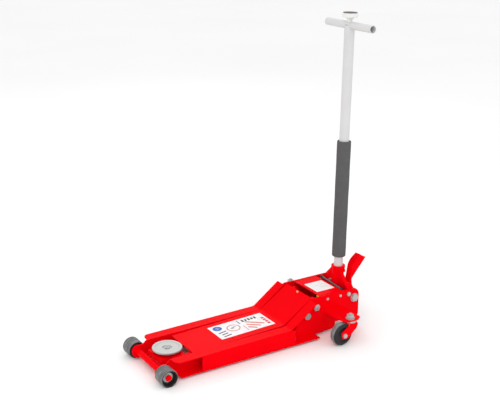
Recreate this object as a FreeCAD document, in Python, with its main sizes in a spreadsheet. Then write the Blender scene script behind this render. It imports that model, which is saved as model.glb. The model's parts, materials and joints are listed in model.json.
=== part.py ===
"""Long low-profile trolley jack: a parametric FreeCAD document written out as one STEP file a piece.

Distances are in millimetres. Outlines count X from the front axle towards the handle, Y across
the jack and Z up from the floor. Every piece is then moved by Sizes.zero_x, so that the row's
origin is the middle of the jack's footprint on the floor.
"""
import FreeCAD, Part
import math
import os

from FreeCAD import Placement, Rotation, Vector

OUT = "parts"
LEFT, RIGHT = -1, 1

SIZES = [
    ("zero_x", -437.455, "front axle, measured from the middle of the footprint"),
    ("wheel_r", 32.0, "front wheel radius"),
    ("wheel_in", 102.5, "front wheel inner face"),
    ("wheel_w", 53.5, "front wheel width"),
    ("wheel_cup_r", 26.0, "recess in the wheel's outer face"),
    ("wheel_cup_depth", 17.0, "depth of that recess"),
    ("axle_r", 12.0, "front axle bar radius"),
    ("axle_end_r", 11.0, "front axle end, inside the wheels"),
    ("web_out", 93.0, "side plate outer face"),
    ("web_t", 5.0, "side plate thickness"),
    ("flange_out", 131.0, "outer edge of the side rail flanges"),
    ("flange_t", 4.0, "flange thickness"),
    ("rail_x0", 38.0, "front end of the side rail flanges"),
    ("rail_bottom", 9.0, "underside of the side rails"),
    ("rail_z0", 69.0, "rail top at its front end"),
    ("bend_x", 515.0, "where the rail and the arm turn upwards"),
    ("rail_z1", 73.0, "rail top at the bend"),
    ("slope_x", 633.0, "top end of the slope"),
    ("deck_z", 158.0, "top of the rear cover and the tall side plates"),
    ("plate_end", 855.0, "rear edge of the side plates"),
    ("plate_low", 38.0, "underside of the side plates at the rear"),
    ("box_x0", 142.0, "front edge of the boxing plates"),
    ("box_x1", 538.0, "start of their closing bend"),
    ("arm_half", 82.5, "half width of the lift arm cover"),
    ("arm_x0", 131.0, "front edge of the arm cover"),
    ("arm_z0", 64.5, "arm cover top at the front"),
    ("arm_z1", 75.5, "arm cover top at the bend"),
    ("arm_end_x", 638.0, "rear top edge of the arm cover"),
    ("arm_end_z", 157.5, "height of that edge"),
    ("sheet_t", 4.0, "cover sheet thickness"),
    ("arm_plate_in", 54.0, "inner face of the arm side plates"),
    ("arm_plate_t", 10.0, "arm side plate thickness"),
    ("main_x", 655.3, "lift arm pivot"),
    ("main_z", 118.6, "lift arm pivot height"),
    ("main_r", 10.0, "lift arm pivot shaft radius"),
    ("rod_dx", -39.9, "radius rod pivot, from the lift arm pivot"),
    ("rod_dz", -27.8, "radius rod pivot, from the lift arm pivot, upwards"),
    ("pin_x", 70.0, "front pin of the lift arm"),
    ("pin_z", 44.0, "front pin height"),
    ("pin_r", 6.0, "front pin radius"),
    ("rod_in", 68.0, "inner face of the radius rods"),
    ("rod_t", 8.0, "radius rod thickness"),
    ("cross_dx", 30.0, "crosshead pin, from the lift arm pivot"),
    ("cross_dz", -55.0, "crosshead pin, from the lift arm pivot, upwards"),
    ("cross_r", 8.0, "crosshead pin radius"),
    ("saddle_x", 70.7, "saddle centre"),
    ("saddle_z", 70.5, "saddle rim height"),
    ("saddle_r", 54.0, "saddle radius"),
    ("saddle_t", 8.2, "saddle thickness"),
    ("stem_r", 15.0, "saddle stem radius"),
    ("ram_z", 60.0, "hydraulic cylinder axis height"),
    ("ram_r", 15.0, "ram radius"),
    ("tank_r", 40.0, "oil reservoir radius"),
    ("tank_x0", 706.0, "front of the oil reservoir"),
    ("block_x0", 752.0, "front face of the pump block"),
    ("block_x1", 797.0, "rear face of the pump block"),
    ("trunnion_x", 778.0, "pump block trunnions, pressed into the side plates"),
    ("trunnion_r", 11.0, "trunnion radius"),
    ("plunger_y", 24.0, "pump plunger axis"),
    ("plunger_z", 100.0, "pump plunger axis height"),
    ("cast_x", 735.0, "caster swivel axis"),
    ("cast_y", 198.0, "caster swivel axis, sideways"),
    ("cast_trail", 41.0, "caster trail"),
    ("cast_r", 43.0, "caster wheel radius"),
    ("cast_w", 34.0, "caster wheel width"),
    ("cast_plate_z", 95.0, "top of the caster brackets"),
    ("yoke_x", 832.5, "handle yoke pivot"),
    ("yoke_z", 119.2, "handle yoke pivot height"),
    ("yoke_pin_r", 8.0, "handle pivot bolt radius"),
    ("yoke_front", 808.0, "front face of the yoke"),
    ("yoke_half", 82.0, "half width of the yoke at its foot"),
    ("yoke_depth", 30.0, "depth of the yoke, front to rear"),
    ("bolt_head", 5.0, "height of the pivot nuts and low bolt heads"),
    ("cam_drop", 22.0, "cam roller centre below the yoke pivot"),
    ("cam_r", 8.0, "cam roller radius"),
    ("pole_x", 820.7, "handle axis at the foot of its socket"),
    ("pole_z", 130.0, "foot of the handle socket"),
    ("pole_lean", 1.235, "backward lean of the handle, degrees"),
    ("socket_r", 23.5, "handle socket radius"),
    ("collar_r", 27.0, "socket collar radius"),
    ("socket_len", 94.0, "handle socket length"),
    ("low_tube_r", 17.5, "lower handle tube radius"),
    ("top_tube_r", 19.0, "upper handle tube radius"),
    ("tube_wall", 1.45, "handle tube wall"),
    ("grip_r", 27.0, "foam grip radius"),
    ("grip_z0", 262.5, "foam grip lower end"),
    ("grip_z1", 722.0, "foam grip upper end"),
    ("bar_z", 1150.0, "height of the cross bar"),
    ("bar_r", 14.25, "cross bar radius"),
    ("bar_half", 133.0, "half length of the cross bar"),
    ("knob_r", 28.5, "release knob radius"),
    ("pedal_y0", -61.0, "pedal near edge"),
    ("pedal_y1", -29.0, "pedal far edge"),
]

doc = FreeCAD.newDocument("trolley_jack")
sheet = doc.addObject("Spreadsheet::Sheet", "Sizes")
for row, (alias, number, meaning) in enumerate(SIZES, start=1):
    sheet.set("A%d" % row, meaning)
    sheet.set("B%d" % row, str(number))
    sheet.setAlias("B%d" % row, alias)
doc.recompute()
VAL = {alias: float(sheet.get(alias)) for alias, _, _ in SIZES}
nodes = []

ALONG_X = Rotation(Vector(0, 0, 1), Vector(1, 0, 0))
ALONG_Y = Rotation(Vector(0, 0, 1), Vector(0, 1, 0))
ALONG_MINUS_Y = Rotation(Vector(0, 0, 1), Vector(0, -1, 0))
UPRIGHT = Rotation()
LEAN = Rotation(Vector(0, 1, 0), VAL["pole_lean"])
CLEAR = 0.05


# ---------------------------------------------------------------- shared steps

def cell(alias):
    return "Sizes.%s" % alias


def place(piece, x=0.0, y=0.0, z=0.0, turn=UPRIGHT):
    """Stands a piece in the jack; a text is an expression on the sheet, a number is a length."""
    start = Vector(0, 0, 0)
    piece.Placement = Placement(start, turn)
    for axis, where in (("x", x), ("y", y), ("z", z)):
        text = where if isinstance(where, str) else repr(float(where))
        if axis == "x":
            text = "Sizes.zero_x + " + text
        piece.setExpression("Placement.Base." + axis, text)
    return piece


def node(piece, name):
    piece.Label = name
    nodes.append(piece)
    return piece


def new_body(name):
    return doc.addObject("PartDesign::Body", name)


def plane_of(body, role):
    return [f for f in body.Origin.OriginFeatures if f.Role == role][0]


def corners(points):
    """Straight and rounded stretches through points (u, v) or (u, v, corner radius)."""
    edges = []
    count = len(points)
    joins = []
    for i, point in enumerate(points):
        here = Vector(point[0], point[1], 0)
        radius = point[2] if len(point) > 2 else 0.0
        before = Vector(*points[i - 1][:2], 0) - here
        after = Vector(*points[(i + 1) % count][:2], 0) - here
        if radius <= 0.0:
            joins.append((here, here, None))
            continue
        half = before.getAngle(after) / 2.0
        run = radius / math.tan(half)
        first = here + before.normalize() * run
        last = here + after.normalize() * run
        middle_dir = (first + last) * 0.5 - here
        centre = here + middle_dir.normalize() * (radius / math.sin(half))
        middle = centre + (here - centre).normalize() * radius
        joins.append((first, last, middle))
    for i, (first, last, middle) in enumerate(joins):
        if middle is not None:
            edges.append(Part.Arc(first, middle, last))
        following = joins[(i + 1) % count][0]
        if last.distanceToPoint(following) > 1e-6:
            edges.append(Part.LineSegment(last, following))
    return edges


def sketch_on(body, name, role, outlines, start=0.0):
    """A sketch parallel to one of the body's planes, start millimetres along that plane's axis."""
    sketch = body.newObject("Sketcher::SketchObject", name)
    sketch.AttachmentSupport = (plane_of(body, role), "")
    sketch.MapMode = "FlatFace"
    shift = -start if role == "XZ_Plane" else start
    sketch.AttachmentOffset = Placement(Vector(0, 0, shift), Rotation())
    for outline in outlines:
        for edge in (corners(outline) if isinstance(outline, list) else [outline]):
            sketch.addGeometry(edge, False)
    return sketch


def ring(u, v, radius):
    return Part.Circle(Vector(u, v, 0), Vector(0, 0, 1), radius)


def pad(body, name, role, outlines, low, high):
    """Fills the outlines between two distances along the plane's axis."""
    start = high if role == "XZ_Plane" else low
    sketch = sketch_on(body, name + "_sketch", role, outlines, start)
    step = body.newObject("PartDesign::Pad", name)
    step.Profile = sketch
    step.Length = high - low
    doc.recompute()
    return step


def pocket(body, name, role, outlines, low, high):
    """Cuts the outlines away between two distances, and makes sure that something was cut."""
    before = body.Shape.Volume
    start = low if role == "XZ_Plane" else high
    sketch = sketch_on(body, name + "_sketch", role, outlines, start)
    step = body.newObject("PartDesign::Pocket", name)
    step.Profile = sketch
    step.Length = high - low
    doc.recompute()
    if body.Shape.Volume > before - 1e-3:
        raise RuntimeError(name + " cut nothing")
    return step


def turned(name, profile, label=None):
    """A lathe-turned body about its own Z axis, from points (radius, height)."""
    body = new_body(name)
    sketch = sketch_on(body, name + "_profile", "XZ_Plane", [profile])
    step = body.newObject("PartDesign::Revolution", name + "_turn")
    step.Profile = sketch
    step.ReferenceAxis = (sketch, ["V_Axis"])
    step.Angle = 360
    doc.recompute()
    if label:
        node(body, label)
    return body


def rod(name, radius, height):
    """A plain cylinder whose radius and height are cells or numbers."""
    piece = doc.addObject("Part::Cylinder", name)
    for prop, amount in (("Radius", radius), ("Height", height)):
        if isinstance(amount, str):
            piece.setExpression(prop, amount)
        else:
            setattr(piece, prop, amount)
    return piece


def cut(name, base, tool):
    piece = doc.addObject("Part::Cut", name)
    piece.Base = base
    piece.Tool = tool
    return piece


def group(name, pieces):
    """Identical separate pieces that share one node."""
    bundle = doc.addObject("Part::Compound", name + "_group")
    bundle.Links = pieces
    return node(bundle, name)


def span(side, inner, outer):
    """The low and high Y of something that lies between two distances from the middle."""
    return (inner, outer) if side == RIGHT else (-outer, -inner)


def hexagon(across, u=0.0, v=0.0):
    reach = across / math.sqrt(3.0)
    return [(u + reach * math.cos(math.radians(60 * i)), v + reach * math.sin(math.radians(60 * i)))
            for i in range(6)]


def headed_bolt(name, head_across, head_h, shank_r, shank_len, flange_r=0.0):
    """A hexagon bolt: the head grows up from local Z 0, and the shank hangs below it."""
    body = new_body(name)
    pad(body, name + "_head", "XY_Plane", [hexagon(head_across)], 0.0, head_h)
    if flange_r:
        pad(body, name + "_flange", "XY_Plane", [ring(0, 0, flange_r)], 0.0, head_h * 0.28)
    pad(body, name + "_shank", "XY_Plane", [ring(0, 0, shank_r)], -shank_len, 0.0)
    return body


def outward(side):
    return ALONG_Y if side == RIGHT else ALONG_MINUS_Y


def side_word(side):
    return "left" if side == LEFT else "right"


# ---------------------------------------------------------------- frame

def lowered(line, drop):
    """A line of three points, moved down square to itself."""
    start, bend, end = line
    rise = math.atan2(bend[1] - start[1], bend[0] - start[0])
    climb = math.atan2(end[1] - bend[1], end[0] - bend[0])
    middle = (rise + climb) / 2.0
    stretch = drop / math.cos((climb - rise) / 2.0)
    return [(start[0], start[1] - drop / math.cos(rise)),
            (bend[0] + stretch * math.sin(middle), bend[1] - stretch * math.cos(middle)),
            (end[0] + drop * math.sin(climb), end[1] - drop * math.cos(climb))]


def bent_band(line, upper_drop, lower_drop, radius):
    """The outline between a line of three points lowered by two amounts, with its bend rounded."""
    over, under = lowered(line, upper_drop), lowered(line, lower_drop)
    return [over[0], (*over[1], radius), over[2], under[2], (*under[1], radius), under[0]]


def rail_line(start_x, end_x):
    """The rail's top edge between two places, bent where the slope begins."""
    v = VAL
    rise = (v["rail_z1"] - v["rail_z0"]) / (v["bend_x"] - v["rail_x0"])
    climb = (v["deck_z"] - v["rail_z1"]) / (v["slope_x"] - v["bend_x"])
    return [(start_x, v["rail_z0"] + rise * (start_x - v["rail_x0"])), (v["bend_x"], v["rail_z1"]),
            (end_x, v["rail_z1"] + climb * (end_x - v["bend_x"]))]


def side_plate(side):
    """One side rail: the tall web with its axle boss and rear doubler, and the two outward flanges."""
    v = VAL
    word = side_word(side)
    body = new_body(word + "_side_plate")
    web_in = v["web_out"] - v["web_t"]
    low, high = span(side, web_in, v["web_out"])
    bottom = v["rail_bottom"]
    edge = rail_line(34.0, v["slope_x"])
    web = [(-24.0, v["wheel_r"] - 23.5, 23.0), (18.0, bottom, 6.0), (690.0, bottom, 8.0),
           (701.0, v["plate_low"], 8.0), (v["plate_end"], v["plate_low"], 14.0),
           (v["plate_end"], v["deck_z"], 30.0), (v["slope_x"], v["deck_z"], 10.0),
           (*edge[1], 25.0), (*edge[0], 6.0),
           (18.0, v["wheel_r"] + 24.0, 8.0), (-24.0, v["wheel_r"] + 24.0, 23.0)]
    pad(body, word + "_web", "XZ_Plane", [web], low, high)
    low_f, high_f = span(side, v["web_out"], v["flange_out"])
    flange = bent_band(rail_line(v["rail_x0"], v["slope_x"] - 6.0), 0.0, v["flange_t"], 25.0)
    pad(body, word + "_top_flange", "XZ_Plane", [flange], low_f, high_f)
    foot_x = v["rail_x0"] + 18.0
    foot = [(foot_x, bottom), (646.0, bottom), (646.0, bottom + v["flange_t"]),
            (foot_x, bottom + v["flange_t"])]
    pad(body, word + "_bottom_flange", "XZ_Plane", [foot], low_f, high_f)
    near = v["flange_out"] * side
    nose_r, over = 20.0, 0.4
    corner_r = nose_r + over
    inner_y = near - side * nose_r
    edge_x = v["rail_x0"] + nose_r
    mid = corner_r * math.sqrt(0.5)
    nose = sketch_on(body, word + "_nose_sketch", "XY_Plane", [], 90.0)
    a, b = Vector(v["rail_x0"] - 1, inner_y, 0), Vector(edge_x, near + side, 0)
    a2, b2 = Vector(v["rail_x0"] - over, inner_y, 0), Vector(edge_x, near + side * over, 0)
    c = Vector(v["rail_x0"] - 1, near + side, 0)
    for first, last in ((a, a2), (b2, b), (b, c), (c, a)):
        nose.addGeometry(Part.LineSegment(first, last), False)
    nose.addGeometry(Part.Arc(a2, Vector(edge_x - mid, inner_y + side * mid, 0), b2), False)
    trim = body.newObject("PartDesign::Pocket", word + "_nose")
    trim.Profile = nose
    trim.Length = 90.0
    doc.recompute()
    doubler = [(640.0, bottom), (746.0, bottom, 10.0), (752.0, 60.0), (640.0, 60.0)]
    pad(body, word + "_doubler", "XZ_Plane", [doubler], *span(side, web_in - 4.0, web_in))
    boss = span(side, v["web_out"], 100.5)
    pad(body, word + "_boss", "XZ_Plane", [ring(0, v["wheel_r"], 22.0)], *boss)
    holes = [(0.0, v["wheel_r"], v["axle_r"]), (v["main_x"], v["main_z"], v["main_r"]),
             (v["main_x"] + v["rod_dx"], v["main_z"] + v["rod_dz"], 7.0),
             (v["yoke_x"], v["yoke_z"], v["yoke_pin_r"]), (804.6, 139.8, 4.0),
             (706.7, 140.5, 3.0), (766.8, 140.5, 3.0), (v["trunnion_x"], 60.0, v["trunnion_r"])]
    for i, (hole_x, hole_z, radius) in enumerate(holes):
        pocket(body, "%s_hole_%d" % (word, i), "XZ_Plane", [ring(hole_x, hole_z, radius + CLEAR)],
               *span(side, web_in - 1.0, 101.0))
    node(place(body), word + "_side_plate")


def boxing_plates():
    """The plates welded between the flanges, turned in to meet the webs behind the bend."""
    v = VAL
    plates = []
    for side in (LEFT, RIGHT):
        out = v["flange_out"] - 1.0
        t = 4.0
        rim = [(v["box_x0"], side * (out - t)), (v["box_x0"], side * out),
               (v["box_x1"], side * out, 12.0), (v["box_x1"] + 32.0, side * v["web_out"]),
               (v["box_x1"] + 26.0, side * v["web_out"]), (v["box_x1"] - 2.0, side * (out - t), 8.0)]
        body = new_body(side_word(side) + "_boxing")
        pad(body, side_word(side) + "_boxing_pad", "XY_Plane", [rim],
            v["rail_bottom"] + v["flange_t"], 80.0)
        climb = (v["rail_z1"] - v["rail_z0"]) / (v["bend_x"] - v["rail_x0"])
        above = [(x, v["rail_z0"] - v["flange_t"] + climb * (x - v["rail_x0"]) - 0.02)
                 for x in (120.0, 600.0)]
        pocket(body, side_word(side) + "_boxing_top", "XZ_Plane",
               [above + [(600.0, 90.0), (120.0, 90.0)]], *span(side, 80.0, 132.0))
        plates.append(place(body))
    group("boxing_plates", plates)


def front_axle():
    v = VAL
    reach = 150.0
    shoulder = 100.5
    profile = [(0, -reach), (v["axle_end_r"] - 1.5, -reach), (v["axle_end_r"], -reach + 1.5),
               (v["axle_end_r"], -shoulder), (v["axle_r"], -shoulder), (v["axle_r"], shoulder),
               (v["axle_end_r"], shoulder), (v["axle_end_r"], reach - 1.5),
               (v["axle_end_r"] - 1.5, reach), (0, reach)]
    place(turned("axle", profile, "front_axle"), 0, 0, cell("wheel_r"), ALONG_Y)


def axle_rings():
    """A dished washer and its snap ring on each end of the axle."""
    v = VAL
    face = v["wheel_in"] + v["wheel_w"] - v["wheel_cup_depth"] + 0.4
    bore = v["axle_end_r"] + CLEAR
    rings = []
    for side in (LEFT, RIGHT):
        profile = [(bore, 0), (18.5, 0), (18.5, 1.6), (14.5, 2.4), (14.5, 4.2), (bore, 4.2)]
        piece = turned(side_word(side) + "_ring", profile)
        rings.append(place(piece, 0, side * face, cell("wheel_r"), outward(side)))
    group("axle_retaining_rings", rings)


def front_wheel(side):
    """A steel wheel with a crowned tread, a cupped outer face and a hub."""
    v = VAL
    w, cup = v["wheel_w"], v["wheel_cup_depth"]
    bore = v["axle_end_r"] + CLEAR
    profile = [(bore, 0.5), (20.0, 0.5), (22.0, 0), (v["wheel_r"] - 2.5, 0, 2.0), (v["wheel_r"], 3.0),
               (v["wheel_r"], w - 3.0), (v["wheel_r"] - 2.5, w, 2.0), (v["wheel_cup_r"] + 1.5, w),
               (v["wheel_cup_r"], w - 2.0), (v["wheel_cup_r"] - 1.5, w - cup, 2.0), (bore, w - cup)]
    name = side_word(side) + "_front_wheel"
    place(turned(name, profile, name), 0, side * v["wheel_in"], cell("wheel_r"), outward(side))


def rear_cover():
    """The bent sheet over the hydraulic unit, between the two tall side plates."""
    v = VAL
    t = 3.0
    half = v["web_out"] - v["web_t"] - 0.3
    top = v["deck_z"]
    skirt = 128.0
    section = [(-half, skirt), (-half, top, 6.0), (half, top, 6.0), (half, skirt), (half - t, skirt),
               (half - t, top - t, 3.0), (t - half, top - t, 3.0), (t - half, skirt)]
    body = new_body("cover")
    pad(body, "cover_sheet", "YZ_Plane", [section], 674.0, 778.0)
    for i, screw_x in enumerate((706.7, 766.8)):
        pocket(body, "cover_hole_%d" % i, "XZ_Plane", [ring(screw_x, 140.5, 3.0 + CLEAR)], -90.0, 90.0)
    node(place(body), "rear_cover")


def screws_and_bolts():
    """What fastens the cover, the pivots and the handle stops to the side plates."""
    v = VAL
    out = v["web_out"]
    cover, stops, rods, nuts, handle = [], [], [], [], []
    for side in (LEFT, RIGHT):
        word = side_word(side)
        for i, screw_x in enumerate((706.7, 766.8)):
            dome = [(0, -9.0), (3.0, -9.0), (3.0, 0), (5.6, 0), (5.2, 2.2, 1.5), (0, 3.6)]
            piece = turned("%s_cover_screw_%d" % (word, i), dome)
            cover.append(place(piece, screw_x, side * out, 140.5, outward(side)))
        stop = headed_bolt(word + "_stop", 15.0, v["bolt_head"], 4.0, 10.5)
        stops.append(place(stop, 804.6, side * out, 139.8, outward(side)))
        pivot = headed_bolt(word + "_rod_pivot", 22.0, v["bolt_head"], 7.0, out - 66.0, 13.5)
        rods.append(place(pivot, "Sizes.main_x + Sizes.rod_dx", side * out,
                          "Sizes.main_z + Sizes.rod_dz", outward(side)))
        nut = new_body(word + "_pivot_nut")
        pad(nut, word + "_nut_body", "XY_Plane", [hexagon(24.0), ring(0, 0, v["main_r"] + CLEAR)],
            0.0, v["bolt_head"])
        nuts.append(place(nut, cell("main_x"), side * out, cell("main_z"), outward(side)))
        bolt = headed_bolt(word + "_handle_pivot", 27.0, 8.0, v["yoke_pin_r"], out - 26.5, 17.0)
        handle.append(place(bolt, cell("yoke_x"), side * out, cell("yoke_z"), outward(side)))
    group("rear_cover_screws", cover)
    group("handle_stop_bolts", stops)
    group("radius_rod_pivot_bolts", rods)
    group("main_pivot_nuts", nuts)
    group("handle_pivot_bolts", handle)
    shaft = rod("main_shaft", cell("main_r"), "2 * (Sizes.web_out + Sizes.bolt_head)")
    place(shaft, cell("main_x"), "-Sizes.web_out - Sizes.bolt_head", cell("main_z"), ALONG_Y)
    node(shaft, "main_pivot_shaft")


def caster_bracket(side):
    """The flat bracket that carries a rear caster, with the flange that is welded to the side plate."""
    v = VAL
    word = side_word(side)
    body = new_body(word + "_caster_bracket")
    top = v["cast_plate_z"]
    out, tip = v["web_out"], v["cast_y"] + 20.0
    cx = v["cast_x"]
    front, rear = cx - 45.0, cx + 42.0
    rim = [(front, side * out), (rear, side * out), (rear, side * (tip - 15.0), 6.0),
           (cx + 20.0, side * tip, 18.0), (cx - 30.0, side * tip, 20.0), (front, side * 170.0, 25.0)]
    pad(body, word + "_bracket_plate", "XY_Plane", [rim], top - 4.0, top)
    flange = [(front, side * out), (rear, side * out), (rear, side * (out + 4)), (front, side * (out + 4))]
    pad(body, word + "_bracket_flange", "XY_Plane", [flange], top - 44.0, top - 4.0)
    pocket(body, word + "_bracket_hole", "XY_Plane", [ring(cx, side * v["cast_y"], 6.0 + CLEAR)],
           top - 6.0, top + 1.0)
    node(place(body), word + "_caster_bracket")


def caster_king_bolts():
    """The swivel bolt of each caster with its washer and nut on top of the bracket."""
    v = VAL
    pieces = []
    for side in (LEFT, RIGHT):
        word = side_word(side)
        stud = headed_bolt(word + "_king", 24.0, 15.0, 6.0, 18.0, 17.0)
        pad(stud, word + "_king_end", "XY_Plane", [ring(0, 0, 6.0)], 0.0, 20.5)
        place(stud, cell("cast_x"), side * v["cast_y"], cell("cast_plate_z"))
        pieces.append(stud)
    group("caster_king_bolts", pieces)


def deck_rod():
    """The loose tie rod across the rear of the deck, and the sleeves on its ends."""
    sleeve_len = 14.0
    half = 80.5
    yaw = math.degrees(math.atan2(-7.0, half))
    along = Rotation(Vector(0, 0, 1), yaw).multiply(ALONG_Y)
    bar = rod("tie_rod", 4.0, 2 * (half - sleeve_len))
    direction = along.multVec(Vector(0, 0, 1))
    middle = Vector(792.5, 0, 155.0)
    start = middle - direction * (half - sleeve_len)
    node(place(bar, start.x, start.y, start.z, along), "deck_tie_rod")
    ends = []
    for i, near in enumerate((-half, half - sleeve_len)):
        at = middle + direction * near
        sleeve = rod("tie_sleeve_%d" % i, 5.5, sleeve_len)
        ends.append(place(sleeve, at.x, at.y, at.z, along))
    group("deck_tie_rod_sleeves", ends)


def labels():
    """Thin printed plates on the arm cover and on the rear cover."""
    deck = new_body("deck_label")
    pad(deck, "deck_label_sheet", "XY_Plane",
        [[(688, -50, 2), (769, -50, 2), (769, 36, 2), (688, 36, 2)]], 158.0, 158.5)
    node(place(deck), "deck_label")


# ---------------------------------------------------------------- hydraulic unit

def pump_block():
    v = VAL
    body = new_body("pump_block")
    x0, x1 = v["block_x0"], v["block_x1"]
    case = [(x0, 22, 4.0), (x1, 22, 4.0), (x1, 116, 4.0), (x0 + 12, 116, 4.0), (x0, 104, 4.0)]
    pad(body, "block_case", "XZ_Plane", [case], -46.0, 46.0)
    nose = [(x1 - 1.0, 70), (x1 + 31.0, 70, 6.0), (x1 + 31.0, 98, 2.0), (x1 - 1.0, 98)]
    pad(body, "block_nose", "XZ_Plane", [nose], -8.0, 8.0)
    for side in (LEFT, RIGHT):
        pad(body, side_word(side) + "_trunnion", "XZ_Plane",
            [ring(v["trunnion_x"], 60.0, v["trunnion_r"])], *span(side, 45.0, v["web_out"] - 0.5))
    pocket(body, "block_ram_bore", "YZ_Plane", [ring(0, v["ram_z"], v["ram_r"] + CLEAR)],
           x0 - 1.0, x0 + 30.0)
    pocket(body, "block_plunger_bore", "YZ_Plane",
           [ring(v["plunger_y"], v["plunger_z"], 7.0 + CLEAR)], x0 + 12.0, x1 + 1.0)
    pocket(body, "block_valve_bore", "XY_Plane", [ring(820.7, 0, 4.0 + CLEAR)], 76.0, 99.0)
    node(place(body), "pump_block")


def hydraulic_unit():
    """Oil reservoir, cylinder, ram with its crosshead, pump plunger and release valve spindle."""
    v = VAL
    x0, x1 = v["tank_x0"], v["block_x0"]
    length = x1 - x0
    wall = 3.5
    tank_r = v["tank_r"]
    barrel_r = v["ram_r"] + 8.0
    tank = [(barrel_r + CLEAR, 0), (tank_r, 0, 5.0), (tank_r, length), (tank_r - wall, length),
            (tank_r - wall, wall, 3.0), (barrel_r + CLEAR, wall)]
    place(turned("tank", tank, "oil_reservoir"), x0, 0, cell("ram_z"), ALONG_X)
    bore = v["ram_r"] + CLEAR
    barrel = [(bore, -3.0), (barrel_r + 4, -3.0, 1.5), (barrel_r + 4, -0.2), (barrel_r, -0.2),
              (barrel_r, length), (bore, length)]
    place(turned("barrel", barrel, "ram_cylinder"), x0, 0, cell("ram_z"), ALONG_X)
    head_x = v["main_x"] + v["cross_dx"]
    ram_start = head_x + 13.0
    ram = rod("ram_rod", cell("ram_r"), x1 + 26.0 - ram_start)
    node(place(ram, ram_start, 0, cell("ram_z"), ALONG_X), "ram")
    head = new_body("crosshead")
    block = [(head_x - 17, 38, 6.0), (head_x + 13, 38, 3.0), (head_x + 13, 82, 3.0),
             (head_x - 17, 82, 6.0)]
    slot_half = v["cross_r"] + 0.8
    slot = [(head_x - slot_half, 46, 8.0), (head_x + slot_half, 46, 8.0),
            (head_x + slot_half, 73.5, 8.0), (head_x - slot_half, 73.5, 8.0)]
    pad(head, "crosshead_block", "XZ_Plane", [block, slot], -22.0, 22.0)
    node(place(head), "crosshead")
    gap = 1.8
    face = v["yoke_x"] - v["cam_r"] - gap
    sunk = 10.0
    reach = face - v["block_x1"] + sunk
    plunger = [(0, 0), (7.0, 0), (7.0, reach - 5.0), (13.5, reach - 5.0), (13.5, reach, 2.0), (0, reach)]
    place(turned("plunger", plunger, "pump_plunger"), v["block_x1"] - sunk, cell("plunger_y"),
          cell("plunger_z"), ALONG_X)
    spindle = [(0, 0), (4.0, 0), (4.0, 20), (7.0, 22.0), (7.0, 30, 1.5), (0, 30)]
    place(turned("spindle", spindle, "release_valve_spindle"), 820.7, 0, 78.0)


def coil(name, radius, wire, pitch, height):
    """A helical spring along local Z."""
    path = doc.addObject("Part::Helix", name + "_path")
    path.Radius = radius
    path.Pitch = pitch
    path.Height = height
    section = doc.addObject("Part::Circle", name + "_section")
    section.Radius = wire
    section.Placement = Placement(Vector(radius, 0, 0), Rotation(Vector(1, 0, 0), 90))
    spring = doc.addObject("Part::Sweep", name)
    spring.Sections = [section]
    spring.Spine = path
    spring.Solid = True
    spring.Frenet = True
    return spring


def springs():
    """The two return springs beside the ram, and the spring that pushes the pump plunger out."""
    v = VAL
    start = v["main_x"] + v["cross_dx"] + 12.0
    pair = []
    for side in (LEFT, RIGHT):
        spring = coil(side_word(side) + "_return", 4.6, 1.1, 3.6, v["block_x0"] - 2.0 - start)
        pair.append(place(spring, start, side * 47.0, cell("ram_z"), ALONG_X))
    group("arm_return_springs", pair)
    room = v["yoke_x"] - v["cam_r"] - 1.8 - 5.0 - v["block_x1"]
    spring = coil("plunger_coil", 10.0, 1.1, 4.6, room - 3.0)
    place(spring, v["block_x1"] + 1.5, cell("plunger_y"), cell("plunger_z"), ALONG_X)
    node(spring, "pump_plunger_spring")


# ---------------------------------------------------------------- lift arm

def arm_line():
    """The top of the arm cover, from its front edge up to its rear edge."""
    v = VAL
    return [(v["arm_x0"], v["arm_z0"]), (v["bend_x"], v["arm_z1"]), (v["arm_end_x"], v["arm_end_z"])]


def arm_cover():
    """The wide bent sheet of the lift arm with its short folded edges."""
    v = VAL
    t, hem = v["sheet_t"], 15.0
    body = new_body("arm_sheet")
    pad(body, "arm_top", "XZ_Plane", [bent_band(arm_line(), 0.0, t, 30.0)],
        -v["arm_half"], v["arm_half"])
    for side in (LEFT, RIGHT):
        pad(body, side_word(side) + "_hem", "XZ_Plane", [bent_band(arm_line(), t, hem, 30.0)],
            *span(side, v["arm_half"] - t, v["arm_half"]))
    node(place(body), "arm_cover")


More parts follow.
